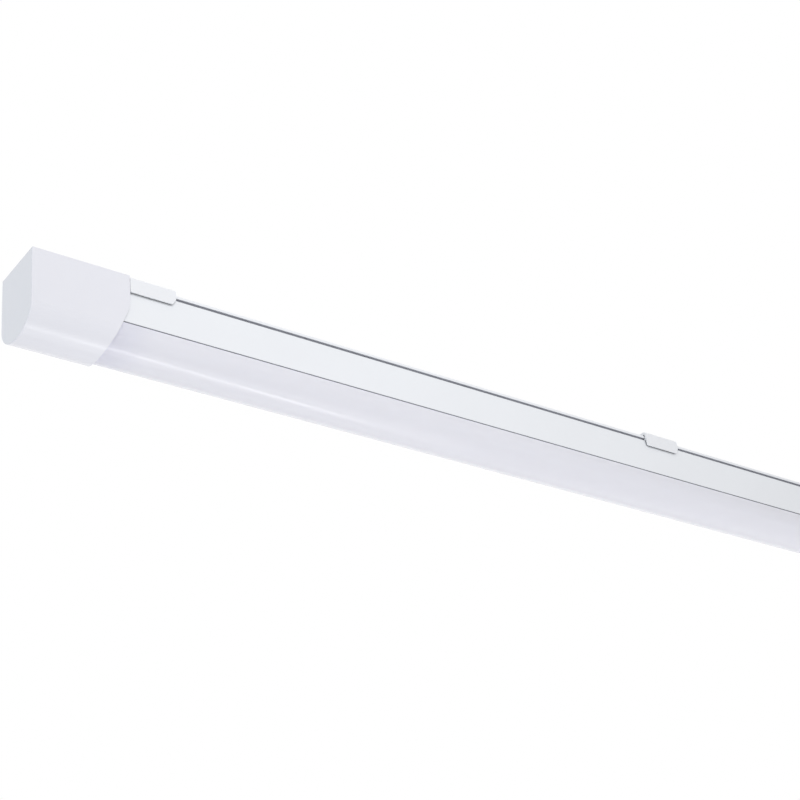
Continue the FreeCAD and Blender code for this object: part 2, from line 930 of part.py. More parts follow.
def terminal_block():
    """A push-in block: square wire entries and button pockets in front, outlets behind, a screwed foot."""
    body = new_body("terminal_block")
    front, back = terminal_ends()
    half = size.terminalWidth / 2
    floor = 0 - size.trayTop
    add_box(body, (front, 0 - half, floor), (back, half, floor + size.terminalHeight))
    foot_end = back + size.terminalFootLength
    add_box(body, (back, 0 - half, floor), (foot_end, half, floor + size.terminalFootHeight))
    entry = size.terminalEntry / 2
    button = size.buttonWidth / 2 + size.buttonClearance
    for name in POLE_STEPS:
        across = pole_across(name)
        rise = floor + size.terminalEntryRise
        cut_box(
            body,
            (front - size.overrun, across - entry, rise - entry),
            (front + size.terminalEntryDepth, across + entry, rise + entry),
        )
        rise = floor + size.buttonRise
        reach = size.buttonHeight / 2 + size.buttonClearance
        depth = size.buttonLength - size.buttonProud + size.buttonTravel + size.buttonClearance
        cut_box(
            body,
            (front - size.overrun, across - button, rise - reach),
            (front + depth, across + button, rise + reach),
        )
    cut_outlets(body, back, floor)
    cut_holes(body, [terminal_screw_place()], floor, size.terminalFootHeight)
    return body


def cut_outlets(body, back, floor):
    """Round outlets at the back of the block for the light's own wires."""
    sketch = new_sketch(body, "YZ_Plane", back - size.terminalOutletDepth)
    for name in POLE_STEPS:
        place = (pole_across(name), floor + size.terminalOutletRise)
        draw_circle(sketch, place, size.mainsWire / 2 + size.screwClearance)
    pocket(body, sketch, size.terminalOutletDepth + size.overrun)


def terminal_contacts():
    """The contact plates on the floors of the wire entries, one for each pole."""
    body = new_body("terminal_contacts")
    front = terminal_ends()[0]
    half = size.terminalEntry / 2
    rise = size.terminalEntryRise - size.trayTop - half
    sketch = new_sketch(body, "XY_Plane", rise)
    for name in POLE_STEPS:
        across = pole_across(name)
        draw_box(
            sketch,
            (front + size.terminalEntryDepth / 2, across - half + size.screwClearance),
            (front + size.terminalEntryDepth, across + half - size.screwClearance),
        )
    pad(body, sketch, size.terminalContactWall)
    return body


def release_button(name):
    """A push button over one wire entry, which lets that wire go."""
    body = new_body(f"release_button_{name}")
    front = terminal_ends()[0] - size.buttonProud
    across = pole_across(name)
    rise = size.buttonRise - size.trayTop
    half, reach, nose = size.buttonWidth / 2, size.buttonHeight / 2, size.buttonNose
    end = front + size.buttonLength
    sketch = new_sketch(body, "XY_Plane", rise - reach)
    draw_loop(sketch, [
        (front, across - half + nose),
        (front + nose, across - half),
        (end, across - half),
        (end, across + half),
        (front + nose, across + half),
        (front, across + half - nose),
    ])
    pad(body, sketch, size.buttonHeight)
    return body


# Fasteners and earth connection

def screws(label, places, seat):
    """Slotted pan-head screws that go down through the tray from a seat above it."""
    body = new_body(label)
    level = seat - size.trayTop
    for place in places:
        add_turned(
            body,
            place,
            [
                (size.screwHead / 2, size.screwHeadHeight),
                (size.screwShank / 2, seat + size.housingWall),
            ],
            level + size.screwHeadHeight,
        )
    sketch = new_sketch(body, "XY_Plane", as_size(level + size.screwHeadHeight - size.screwSlotDepth))
    for across, along in places:
        draw_box(
            sketch,
            (across - size.screwHead, along - size.screwSlotWidth / 2),
            (across + size.screwHead, along + size.screwSlotWidth / 2),
        )
    pocket(body, sketch, size.screwSlotDepth + size.overrun)
    return body


def earth_washer():
    body = new_body("earth_washer")
    sketch = new_sketch(body, "XY_Plane", 0 - size.trayTop)
    draw_circle(sketch, earth_place(), size.earthWasher / 2)
    draw_circle(sketch, earth_place(), size.screwShank / 2 + size.screwClearance)
    pad(body, sketch, size.earthWasherWall)
    return body


def earth_lug():
    """The ring lug on the earth wire's end, between washer and screw head."""
    body = new_body("earth_lug")
    x, y = earth_place()
    level = size.earthWasherWall - size.trayTop
    sketch = new_sketch(body, "XY_Plane", level)
    draw_circle(sketch, (x, y), size.earthLugRing / 2)
    pad(body, sketch, size.earthLugWall)
    half = size.earthLugWidth / 2
    add_box(body, (x - size.earthLugReach, y - half, level), (x, y + half, level + size.earthLugWall))
    sketch = new_sketch(body, "XY_Plane", level - size.overrun)
    draw_circle(sketch, (x, y), size.screwShank / 2 + size.screwClearance)
    pocket(body, sketch, size.earthLugWall + size.overrun * 2)
    return body


# Grommets

def grommet(label, side, bored):
    """A square rubber grommet in the top wall, open for a cable or closed by a membrane."""
    body = new_body(label)
    middle = entry_middle(side)
    flange = size.grommetFlange / 2
    neck = size.entryWidth / 2 - size.grommetClearance
    seat = 0 - size.housingDrop
    neck_foot = seat - size.housingWall
    foot = neck_foot - size.grommetFootFlange
    for half, low, high in (
        (flange, seat, seat + size.grommetTopFlange),
        (neck, neck_foot, seat),
        (flange, foot, neck_foot),
    ):
        add_box(body, (middle - half, 0 - half, low), (middle + half, half, high))
    start = foot - size.overrun if bored else foot + size.grommetMembrane
    sketch = new_sketch(body, "XY_Plane", start)
    draw_circle(sketch, (middle, 0), size.grommetBore / 2)
    pocket(body, sketch, seat + size.grommetTopFlange + size.overrun - start)
    return body


# Wires

def vector(place):
    return FreeCAD.Vector(*(float(value) for value in place))


def rounded_path(places, bend):
    """A wire of straight runs through the places, joined by tangent arcs of the bend radius."""
    points = [vector(place) for place in places]
    edges = []
    last = points[0]
    for i in range(1, len(points) - 1):
        into = (points[i] - points[i - 1]).normalize()
        out = (points[i + 1] - points[i]).normalize()
        turn = into.getAngle(out)
        reach = float(bend) * math.tan(turn / 2)
        start, end = points[i] - into * reach, points[i] + out * reach
        inward = (out - into).normalize()
        middle = points[i] + inward * (float(bend) / math.cos(turn / 2) - float(bend))
        edges.append(Part.LineSegment(last, start).toShape())
        edges.append(Part.Arc(start, middle, end).toShape())
        last = end
    edges.append(Part.LineSegment(last, points[-1]).toShape())
    return Part.Wire(edges)


def wire_tube(label, places, diameter, bend):
    """An insulated wire along a rounded path."""
    path = rounded_path(places, bend)
    start, end = vector(places[0]), vector(places[1])
    ring = Part.Wire(Part.Circle(start, end - start, float(diameter) / 2).toShape())
    feature = doc.addObject("Part::Feature", label)
    feature.Label = label
    feature.Shape = path.makePipe(Part.Face(ring))
    feature.Placement = FreeCAD.Placement()
    subparts.append(feature)
    section = math.pi * float(diameter) ** 2 / 4
    share = feature.Shape.Volume / (section * path.Length)
    print(f"{label}: length {path.Length:.1f}, volume share {share:.4f}")
    return feature


def mains_route(name, order):
    """From an outlet of the terminal block, through the saddles and into the driver's port."""
    back = terminal_ends()[1]
    inlet = driver_ends()[0]
    across, inner = pole_across(name), size.mainsRouteGap * (order - 1)
    rise = size.terminalOutletRise - size.trayTop
    port = size.driverPortRise + size.driverPortHeight / 2 - size.trayTop
    return [
        (back - size.terminalOutletDepth, across, rise),
        (inlet - size.wireRunIn * 3, across, rise),
        (inlet - size.wireRunIn, inner, port),
        (inlet + size.driverWall * 2, inner, port),
    ]


def earth_route():
    """From the terminal block's third outlet to the lug."""
    back = terminal_ends()[1]
    x, y = earth_place()
    rise = size.terminalOutletRise - size.trayTop
    level = size.earthWasherWall + size.earthLugWall + size.mainsWire / 2 - size.trayTop
    end = x - size.earthLugRing / 2 - size.wireTrayGap
    return [
        (back - size.terminalOutletDepth, pole_across("earth"), rise),
        (back + size.wireRunIn, pole_across("earth"), rise),
        (end - size.wireRunIn * 2, y, level),
        (end, y, level),
    ]


def plug_lane(step):
    """One of the plug's three positions across the light."""
    return size.ledWidth / 2 + size.plugOffset + size.plugWidth / 2 + size.plugPitch * step


def output_start(side):
    """Where a wire to the boards leaves the driver, in line with its lane."""
    port = size.driverPortRise + size.driverPortHeight / 2 - size.trayTop
    return driver_ends()[1] - size.driverWall * 2, plug_lane(side), port


def left_output_route():
    """From the driver, down through the slot and back to the left board's plug."""
    start = output_start(-1)
    drop = 0 - size.outputWire
    plug_level = 0 - board_foot - size.plugHeight / 2
    return [
        start,
        (drop, *start[1:]),
        (drop, start[1], plug_level),
        (plug_span(-1)[0], start[1], plug_level),
    ]


def right_output_route():
    """From the driver, slanting down through the slot to the right board's plug."""
    start = output_start(1)
    plug_level = 0 - board_foot - size.plugHeight / 2
    foot = plug_span(1)[0] - size.outputBend * 2
    return [
        start,
        (foot - (start[2] - plug_level), *start[1:]),
        (foot, start[1], plug_level),
        (plug_span(1)[0], start[1], plug_level),
    ]


def link_route():
    """The short link between the two boards' plugs."""
    level = 0 - board_foot - size.plugHeight / 2
    return [(plug_span(side)[0], plug_lane(0), level) for side in (-1, 1)]


def saddles():
    """Saddles stuck to the tray that the live and neutral wires pass through."""
    body = new_body("wire_saddles")
    start = terminal_ends()[1] + size.wireRunIn * 3
    run = driver_ends()[0] - size.wireRunIn * 3 - start
    floor = 0 - size.trayTop
    reach = size.mainsWire / 2 + size.saddleGap
    middle = floor + size.terminalOutletRise
    low, high = pole_across("live") - reach, pole_across("neutral") + reach
    wall = size.saddleWall
    for share in SADDLE_PLACE_SHARES:
        sketch = new_sketch(body, "YZ_Plane", start + run * share)
        draw_box(sketch, (low - wall, floor), (high + wall, middle + reach + wall))
        draw_box(sketch, (low, middle - reach), (high, middle + reach))
        pad(body, sketch, size.saddleLength)
    return body


# The whole light

housing()
cover()
end_cap("end_cap_left")
turn_half(end_cap("end_cap_right"))
for place_name, bracket_middle in bracket_middles().items():
    bracket_base(f"bracket_{place_name}", bracket_middle)
    bracket_arm(f"bracket_{place_name}_arm_rear", bracket_middle, False)
    bracket_arm(f"bracket_{place_name}_arm_front", bracket_middle, True)
for side_name, board_side in (("left", -1), ("right", 1)):
    led_board(f"led_board_{side_name}", board_side)
    led_packages(f"led_packages_{side_name}", board_side)
    board_plug(f"board_plug_{side_name}", board_side)
driver_case()
driver_lid()
driver_board()
driver_block("driver_choke", size.chokeStart, size.chokeLength, size.chokeWidth, size.chokeHeight)
driver_block(
    "driver_transformer",
    size.transformerStart,
    size.transformerLength,
    size.transformerWidth,
    size.transformerHeight,
)
driver_capacitor()
terminal_block()
terminal_contacts()
for pole in POLE_STEPS:
    release_button(pole)
screws("driver_screws", driver_screw_places(), size.driverEarHeight)
screws("terminal_screw", [terminal_screw_place()], size.terminalFootHeight)
screws("earth_screw", [earth_place()], size.earthWasherWall + size.earthLugWall)
earth_washer()
earth_lug()
grommet("cable_grommet", -1, True)
grommet("blanking_grommet", 1, False)
wire_tube("wire_live", mains_route("live", 0), size.mainsWire, size.mainsBend)
wire_tube("wire_neutral", mains_route("neutral", 1), size.mainsWire, size.mainsBend)
wire_tube("wire_earth", earth_route(), size.mainsWire, size.mainsBend)
wire_tube("wire_led_positive", left_output_route(), size.outputWire, size.outputBend)
wire_tube("wire_led_negative", right_output_route(), size.outputWire, size.outputBend)
wire_tube("wire_board_link", link_route(), size.outputWire, size.outputBend)
saddles()
doc.recompute()

for item in doc.Objects:
    if "Invalid" in item.State or "Error" in item.State:
        raise ValueError(f"{item.Label} failed to build")
for item in subparts:
    if item.Shape.isNull() or not item.Shape.isValid():
        raise ValueError(f"{item.Label} has no valid shape")
os.makedirs("parts", exist_ok=True)
for item in subparts:
    item.Shape.exportStep(f"parts/{item.Label}.step")
    print(item.Label, len(item.Shape.Solids), round(item.Shape.Volume))
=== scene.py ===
import math
import bmesh
import bpy
from mathutils import Matrix, Vector


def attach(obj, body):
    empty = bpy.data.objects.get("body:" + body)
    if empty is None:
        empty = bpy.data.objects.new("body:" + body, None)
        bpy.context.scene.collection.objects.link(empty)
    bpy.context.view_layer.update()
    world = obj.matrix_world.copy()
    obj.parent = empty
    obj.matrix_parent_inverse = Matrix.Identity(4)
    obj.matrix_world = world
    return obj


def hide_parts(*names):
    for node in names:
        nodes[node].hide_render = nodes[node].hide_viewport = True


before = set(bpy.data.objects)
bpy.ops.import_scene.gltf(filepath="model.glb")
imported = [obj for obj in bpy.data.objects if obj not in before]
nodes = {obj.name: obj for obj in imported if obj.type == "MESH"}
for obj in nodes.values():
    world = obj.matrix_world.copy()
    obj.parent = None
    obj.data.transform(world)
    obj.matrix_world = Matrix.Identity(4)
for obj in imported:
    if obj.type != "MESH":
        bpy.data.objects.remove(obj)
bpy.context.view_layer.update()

# Looks of a slim ceiling light: coated housing, opal cover, moulded caps and clip brackets.
# Metres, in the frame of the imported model: X along the light, Z up, ceiling at Z = 0.

bpy.ops.object.select_all(action="DESELECT")
print("frame loaded:", len(nodes), "nodes")


# Finishes: a colour that drifts a little, uneven gloss and a fine grain

commonLook = {
    "ior": 1.49,
    "metal": 0,
    "sheen": 0,
    "glow": 0,  # light that spreads under the surface
    "glowDepth": 0.001,
    "glowTint": (0.94, 0.97, 1),
    "stretch": (1, 1, 1),  # under 1 draws the noise out along that axis
    "drift": 0.015,
    "driftScale": 14,
    "driftDetail": 4,
    "glossDrift": 0.04,
    "glossScale": 60,
    "glossDetail": 3,
    "grainStrength": 0.3,
    "grainDetail": 2,
    "noiseSpan": (0.3, 0.7),  # where most of a noise lies
    "gapSpan": (0.25, 0.8),  # how open a place is, from the darkest to full colour
    "gapSamples": 12,
    "stripeSpan": (0.52, 0.6),
}


def newNode(tree, kind, sockets, **settings):  # a socket takes a value, or another node's output
    node = tree.nodes.new(kind)
    for setting, value in settings.items():
        setattr(node, setting, value)
    for socket, value in sockets.items():
        if isinstance(value, bpy.types.NodeSocket):
            tree.links.new(value, node.inputs[socket])
        else:
            node.inputs[socket].default_value = value
    return node


def addPlace(tree):
    return newNode(tree, "ShaderNodeTexCoord", {}).outputs["Object"]


def addNoise(tree, scale, detail, stretch):
    mapping = newNode(tree, "ShaderNodeMapping", {"Vector": addPlace(tree), "Scale": stretch})
    place = mapping.outputs["Vector"]
    noise = newNode(tree, "ShaderNodeTexNoise", {"Vector": place, "Scale": scale, "Detail": detail})
    return noise.outputs["Fac"]


def addSpan(tree, source, span, low, high, **settings):
    sockets = {
        "Value": source, "From Min": span[0], "From Max": span[1], "To Min": low, "To Max": high,
    }
    return newNode(tree, "ShaderNodeMapRange", sockets, **settings).outputs["Result"]


def addMix(tree, first, second, share, blend="MIX"):
    sockets = {"A": first, "B": second, "Factor": share}
    mix = newNode(tree, "ShaderNodeMix", sockets, data_type="RGBA", blend_type=blend)
    return mix.outputs["Result"]


def driftColour(tree, look):
    dull = [channel * (1 - look["drift"]) for channel in look["colour"]]
    bright = [min(1, channel * (1 + look["drift"])) for channel in look["colour"]]
    noise = addNoise(tree, look["driftScale"], look["driftDetail"], look["stretch"])
    return addMix(tree, (*dull, 1), (*bright, 1), addSpan(tree, noise, look["noiseSpan"], 0, 1))


def paintGapShade(tree, surface, look):  # painted shade: colour darkened in narrow gaps and crevices, by ambient occlusion
    reach = {"Distance": look["gapReach"]}
    gap = newNode(tree, "ShaderNodeAmbientOcclusion", reach, samples=look["gapSamples"])
    level = addSpan(tree, gap.outputs["AO"], look["gapSpan"], look["gapDepth"], 1)
    return addMix(tree, surface, level, 1, "MULTIPLY")


def shadeEnds(tree, surface, look):  # the caps keep the light out behind the opal
    split = newNode(tree, "ShaderNodeSeparateXYZ", {"Vector": addPlace(tree)})
    along = newNode(tree, "ShaderNodeMath", {0: split.outputs["X"]}, operation="ABSOLUTE").outputs[0]
    level = addSpan(tree, along, look["endSpan"], 1, look["endDepth"], interpolation_type="SMOOTHSTEP")
    return addMix(tree, surface, level, 1, "MULTIPLY")


def addStripe(tree, surface, look):  # a second colour wound along a wire
    sockets = {"Vector": addPlace(tree), "Scale": look["stripeScale"]}
    wave = newNode(tree, "ShaderNodeTexWave", sockets, bands_direction="DIAGONAL")
    stripe = addSpan(tree, wave.outputs["Fac"], look["stripeSpan"], 0, 1)
    return addMix(tree, surface, (*look["stripe"], 1), stripe)


def varyGloss(tree, look):
    noise = addNoise(tree, look["glossScale"], look["glossDetail"], look["stretch"])
    low, high = look["roughness"] - look["glossDrift"], look["roughness"] + look["glossDrift"]
    return addSpan(tree, noise, look["noiseSpan"], low, high)


def raiseGrain(tree, look):
    noise = addNoise(tree, look["grain"], look["grainDetail"], look["stretch"])
    sockets = {"Height": noise, "Distance": look["grainDepth"], "Strength": look["grainStrength"]}
    return newNode(tree, "ShaderNodeBump", sockets).outputs["Normal"]


def startFinish(name, look):
    finish = bpy.data.materials.new(name)
    finish.use_nodes = True
    shader = finish.node_tree.nodes["Principled BSDF"]
    shader.inputs["Base Color"].default_value = (*look["colour"], 1)
    shader.inputs["Roughness"].default_value = look["roughness"]
    return finish, finish.node_tree, shader


def makeFinish(name, ownLook):
    look = {**commonLook, **ownLook}
    finish, tree, shader = startFinish(name, look)
    shader.inputs["IOR"].default_value = look["ior"]
    shader.inputs["Metallic"].default_value = look["metal"]
    shader.inputs["Sheen Weight"].default_value = look["sheen"]
    shader.inputs["Subsurface Weight"].default_value = look["glow"]
    shader.inputs["Subsurface Radius"].default_value = look["glowTint"]
    shader.inputs["Subsurface Scale"].default_value = look["glowDepth"]
    surface = driftColour(tree, look)
    if "gapReach" in look:
        surface = paintGapShade(tree, surface, look)
    if "stripe" in look:
        surface = addStripe(tree, surface, look)
    if "endSpan" in look:
        surface = shadeEnds(tree, surface, look)
    tree.links.new(surface, shader.inputs["Base Color"])
    tree.links.new(varyGloss(tree, look), shader.inputs["Roughness"])
    tree.links.new(raiseGrain(tree, look), shader.inputs["Normal"])
    return finish


wireLook = {"roughness": 0.35, "grain": 600, "grainDepth": 0.00003, "drift": 0.06}
looks = {
    "housing_coat": {
        "colour": (0.845, 0.863, 0.898), "roughness": 0.38, "glossDrift": 0.05, "drift": 0.01,
        "grain": 1400, "grainDepth": 0.00006, "grainStrength": 0.35,
        # painted shade: the housing darkens in narrow gaps, under the tabs and along the joints
        "gapReach": 0.003, "gapDepth": 0.42,
    },
    # painted shade: a darker colour for the faces inside the grooves, darkened further in their
    # corners
    "groove_painted_shade": {
        "colour": (0.66, 0.675, 0.73), "roughness": 0.5, "drift": 0.05, "driftScale": 40,
        "grain": 1800, "grainDepth": 0.00005, "stretch": (0.1, 1, 1),
        "gapReach": 0.003, "gapDepth": 0.62,
    },
    "cover_opal": {
        "colour": (0.835, 0.84, 0.985), "roughness": 0.18, "glossDrift": 0.03, "drift": 0.008,
        "grain": 500, "grainDepth": 0.00001, "grainStrength": 0.2, "stretch": (0.004, 1, 1),
        "glow": 0.7, "glowDepth": 0.004, "endSpan": (0.497, 0.545), "endDepth": 0.86,
    },
    "cap_white": {
        "colour": (0.79, 0.793, 0.848), "roughness": 0.2, "drift": 0.01,
        "grain": 2200, "grainDepth": 0.00002, "grainStrength": 0.25,
        "glow": 0.12, "glowDepth": 0.0008,
    },
    "bracket_white": {
        "colour": (0.838, 0.851, 0.884), "roughness": 0.34, "drift": 0.012,
        "grain": 2000, "grainDepth": 0.00004,
        "glow": 0.12, "glowDepth": 0.0007,
    },
    "board_white": {
        "colour": (0.84, 0.86, 0.83), "roughness": 0.45, "drift": 0.02,
        "grain": 900, "grainDepth": 0.00002,
    },
    "emitter": {
        "colour": (0.85, 0.68, 0.16), "roughness": 0.25,
        "grain": 6000, "grainDepth": 0.00002,
        "glow": 0.3,
    },
    "plug_white": {
        "colour": (0.8, 0.8, 0.76), "roughness": 0.35,
        "grain": 2500, "grainDepth": 0.00003,
        "glow": 0.3,
    },
    "driver_shell": {
        "colour": (0.7, 0.72, 0.74), "roughness": 0.4, "drift": 0.02,
        "grain": 1800, "grainDepth": 0.00006,
    },
    "circuit": {
        "colour": (0.03, 0.15, 0.06), "roughness": 0.35, "drift": 0.12,
        "grain": 700, "grainDepth": 0.00004,
    },
    "winding": {
        "colour": (0.62, 0.42, 0.07), "roughness": 0.3, "drift": 0.05,
        "grain": 900, "grainDepth": 0.00008,
    },
    "capacitor_sleeve": {
        "colour": (0.012, 0.012, 0.014), "roughness": 0.25, "drift": 0.1,
        "grain": 900, "grainDepth": 0.00003,
    },
    "terminal_grey": {
        "colour": (0.36, 0.38, 0.4), "roughness": 0.42, "drift": 0.03,
        "grain": 2200, "grainDepth": 0.00005,
    },
    "button_orange": {
        "colour": (0.72, 0.16, 0.015), "roughness": 0.32, "drift": 0.04,
        "grain": 2400, "grainDepth": 0.00003,
    },
    "contact_metal": {
        "colour": (0.78, 0.78, 0.77), "roughness": 0.28, "metal": 1,
        "grain": 700, "grainDepth": 0.00002, "stretch": (0.1, 1, 1),
    },
    "zinc_steel": {
        "colour": (0.6, 0.62, 0.66), "roughness": 0.32, "metal": 1, "drift": 0.08, "driftScale": 400,
        "grain": 1500, "grainDepth": 0.00003,
    },
    "grommet_rubber": {
        "colour": (0.09, 0.09, 0.095), "roughness": 0.65, "sheen": 0.1, "drift": 0.08,
        "grain": 1600, "grainDepth": 0.00008,
    },
    "wire_brown": {**wireLook, "colour": (0.1, 0.035, 0.012)},
    "wire_blue": {**wireLook, "colour": (0.012, 0.05, 0.38)},
    "wire_green": {
        **wireLook, "colour": (0.03, 0.22, 0.02),
        "stripe": (0.78, 0.6, 0.02), "stripeScale": 55,
    },
    "wire_red": {**wireLook, "colour": (0.42, 0.012, 0.01)},
    "wire_black": {**wireLook, "colour": (0.01, 0.01, 0.01), "drift": 0.1},
    "wire_white": {**wireLook, "colour": (0.76, 0.76, 0.74), "drift": 0.02},
    "saddle_nylon": {
        "colour": (0.74, 0.73, 0.66), "roughness": 0.4,
        "grain": 1500, "grainDepth": 0.00004,
        "glow": 0.3,
    },
}
finishes = {slot: makeFinish(slot + "_finish", look) for slot, look in looks.items()}
for node in nodes.values():
    for holder in node.material_slots:
        holder.material = finishes[holder.material.name.split(".")[0]]
print("finishes made:", len(finishes))


# Modelling helpers

fineLimits = {
    "same": 0.000001,  # places closer than this count as one
    "weld": 0.00001,
    "nodeWeld": 0.000002,
    "nodeFlat": 0.5,  # degrees up to which a node's triangles are one flat face
    "smooth": 32,  # degrees up to which an edge is shaded smooth
    "startSize": 0.001,
}


def isSame(a, b):
    return abs(a - b) < fineLimits["same"]


def choosePieces(piece, *others):
    bpy.ops.object.select_all(action="DESELECT")
    for chosen in (piece, *others):
        chosen.select_set(True)
    bpy.context.view_layer.objects.active = piece


def openPiece(piece):
    choosePieces(piece)
    bpy.ops.object.mode_set(mode="EDIT")


def closePiece():
    bpy.ops.object.mode_set(mode="OBJECT")


def applyPlace():
    bpy.ops.object.transform_apply(location=True, rotation=True, scale=True)


def pickParts(piece, kind, rule):
    bpy.ops.mesh.select_mode(type=kind)
    bpy.ops.mesh.select_all(action="DESELECT")
    mesh = bmesh.from_edit_mesh(piece.data)
    parts = {"VERT": mesh.verts, "EDGE": mesh.edges, "FACE": mesh.faces}[kind]
    for part in parts:
        if rule(part):
            part.select_set(True)
    mesh.select_flush_mode()
    bmesh.update_edit_mesh(piece.data)


def pickVertices(piece, rule):
    pickParts(piece, "VERT", lambda vertex: rule(vertex.co))


def pickEdges(piece, rule):
    pickParts(piece, "EDGE", lambda edge: rule(edge.verts[0].co, edge.verts[1].co))


def pickFaces(piece, rule):
    pickParts(piece, "FACE", lambda face: rule(face.calc_center_median()))


def startPoint(name, place):
    bpy.ops.object.select_all(action="DESELECT")
    bpy.ops.mesh.primitive_plane_add(size=fineLimits["startSize"], location=place)
    piece = bpy.context.object
    piece.name = name
    applyPlace()
    openPiece(piece)
    bpy.ops.mesh.select_mode(type="VERT")
    bpy.ops.mesh.select_all(action="SELECT")
    bpy.ops.mesh.merge(type="CENTER")
    return piece


def startBlock(name, low, high):
    bpy.ops.object.select_all(action="DESELECT")
    middle = [(a + b) / 2 for a, b in zip(low, high)]
    extent = [b - a for a, b in zip(low, high)]
    bpy.ops.mesh.primitive_cube_add(size=1, location=middle, scale=extent)
    piece = bpy.context.object
    piece.name = name
    applyPlace()
    return piece


def drawOn(move):
    bpy.ops.mesh.extrude_region_move(TRANSFORM_OT_translate={"value": move})


def drawCorners(y, depth, corners):  # each corner is a place across the light and a depth
    for nextY, nextDepth in corners:
        drawOn((0, nextY - y, depth - nextDepth))
        y, depth = nextY, nextDepth


def drawArc(centre, angle, steps):
    bpy.ops.mesh.spin(steps=steps, angle=-angle, center=centre, axis=(1, 0, 0))


def cutOff(place, direction):  # bisect ignores a very short direction, so it is made one long
    away = Vector(direction).normalized()
    bpy.ops.mesh.select_all(action="SELECT")
    bpy.ops.mesh.bisect(plane_co=place, plane_no=away, use_fill=True, clear_outer=True)


def turnOutwards():
    bpy.ops.mesh.select_all(action="SELECT")
    bpy.ops.mesh.normals_make_consistent(inside=False)


def copyPiece(piece, name, shift=(0, 0, 0), turned=False):
    choosePieces(piece)
    bpy.ops.object.duplicate()
    copy = bpy.context.object
    copy.name = name
    if turned:
        bpy.ops.transform.rotate(value=math.pi, orient_axis="Z", center_override=(0, 0, 0))
    bpy.ops.transform.translate(value=shift)
    applyPlace()
    return copy


def joinPieces(piece, others):
    choosePieces(piece, *others)
    bpy.ops.object.join()


def useModifier(piece, kind, **settings):
    choosePieces(piece)
    bpy.ops.object.modifier_add(type=kind)
    modifier = piece.modifiers[-1]
    for setting, value in settings.items():
        setattr(modifier, setting, value)
    bpy.ops.object.modifier_apply(modifier=modifier.name)


def mirrorHalf(piece):
    useModifier(
        piece, "MIRROR", use_axis=(False, True, False), use_mirror_merge=True,
        merge_threshold=fineLimits["weld"],
    )


def roundEdges(piece, width, steps, angle):  # the edges that turn by more than this many degrees
    useModifier(
        piece, "BEVEL", width=width, segments=steps, limit_method="ANGLE",
        angle_limit=math.radians(angle), use_clamp_overlap=True, miter_outer="MITER_ARC",
    )


def smoothPiece(piece):
    choosePieces(piece)
    bpy.ops.object.shade_smooth_by_angle(angle=math.radians(fineLimits["smooth"]))
    useModifier(piece, "WEIGHTED_NORMAL", keep_sharp=True)


def dressPiece(piece, slot, body, nodeName):
    piece.data.materials.clear()
    piece.data.materials.append(finishes[slot])
    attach(piece, body)
    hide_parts(nodeName)


def copyNode(nodeName, pieceName):
    piece = bpy.data.objects.new(pieceName, nodes[nodeName].data.copy())
    bpy.context.scene.collection.objects.link(piece)
    openPiece(piece)
    bpy.ops.mesh.select_all(action="SELECT")
    bpy.ops.mesh.remove_doubles(threshold=fineLimits["nodeWeld"])
    bpy.ops.mesh.dissolve_limited(angle_limit=math.radians(fineLimits["nodeFlat"]))
    closePiece()
    if piece.data.has_custom_normals:
        bpy.ops.mesh.customdata_custom_splitnormals_clear()
    return piece


softEdge = {"steps": 2, "angle": 35}


def softenNode(nodeName, pieceName, body, slot, width):
    piece = copyNode(nodeName, pieceName)
    roundEdges(piece, width, softEdge["steps"], softEdge["angle"])
    smoothPiece(piece)
    dressPiece(piece, slot, body, nodeName)


# End caps: a D-shaped cup with a slot in its top and a slanted inner edge

capShape = {
    "endX": -0.6,
    "length": 0.0762,
    "undersideLength": 0.0613,
    "halfWidth": 0.02425,
    "sideDepth": 0.044,
    "depth": 0.0635,
    "cornerRadius": 0.016,
    "bendDepth": 0.027,
    "bendRadius": 0.03,
    "wall": 0.0019,
    "slotStart": 0.012,
    "slotHalf": 0.01,
    "endRound": 0.0005,
    "endSteps": 4,
    "rimRound": (0.0004, 2, 50),  # width, steps and least angle
    "arcSteps": 14,
    "sideSteps": 26,
}


def noseRadius():
    run = capShape["halfWidth"] - capShape["cornerRadius"]
    drop = capShape["depth"] - capShape["sideDepth"]
    corner = capShape["cornerRadius"]
    return (run * run + drop * drop - corner * corner) / (2 * (drop - corner))


def noseAngle():
    run = capShape["halfWidth"] - capShape["cornerRadius"]
    return math.atan2(run, noseRadius() - (capShape["depth"] - capShape["sideDepth"]))


def capEdgeX(depth):  # straight down, round the bend, then slanting back to the underside
    shape = capShape
    run = shape["length"] - shape["undersideLength"]
    fall = shape["depth"] - shape["bendDepth"]
    lean = math.atan2(run, fall)
    tangent = shape["bendRadius"] * math.tan(lean / 2)
    start = shape["bendDepth"] - tangent
    finish = shape["bendDepth"] + tangent * math.cos(lean)
    edge = shape["endX"] + shape["length"]
    if depth <= start:
        return edge
    if depth >= finish:
        return edge - (depth - shape["bendDepth"]) * math.tan(lean)
    radius = shape["bendRadius"]
    return edge - radius + math.sqrt(radius * radius - (depth - start) ** 2)


def drawHalfSection(name, inset, x):  # from the middle of the underside up to the side
    shape = capShape
    radius = noseRadius()
    angle = noseAngle()
    run = shape["halfWidth"] - shape["cornerRadius"]
    piece = startPoint(name, (x, 0, inset - shape["depth"]))
    drawArc((x, 0, radius - shape["depth"]), angle, shape["arcSteps"])
    drawArc((x, run, -shape["sideDepth"]), math.pi / 2 - angle, shape["arcSteps"])
    return piece


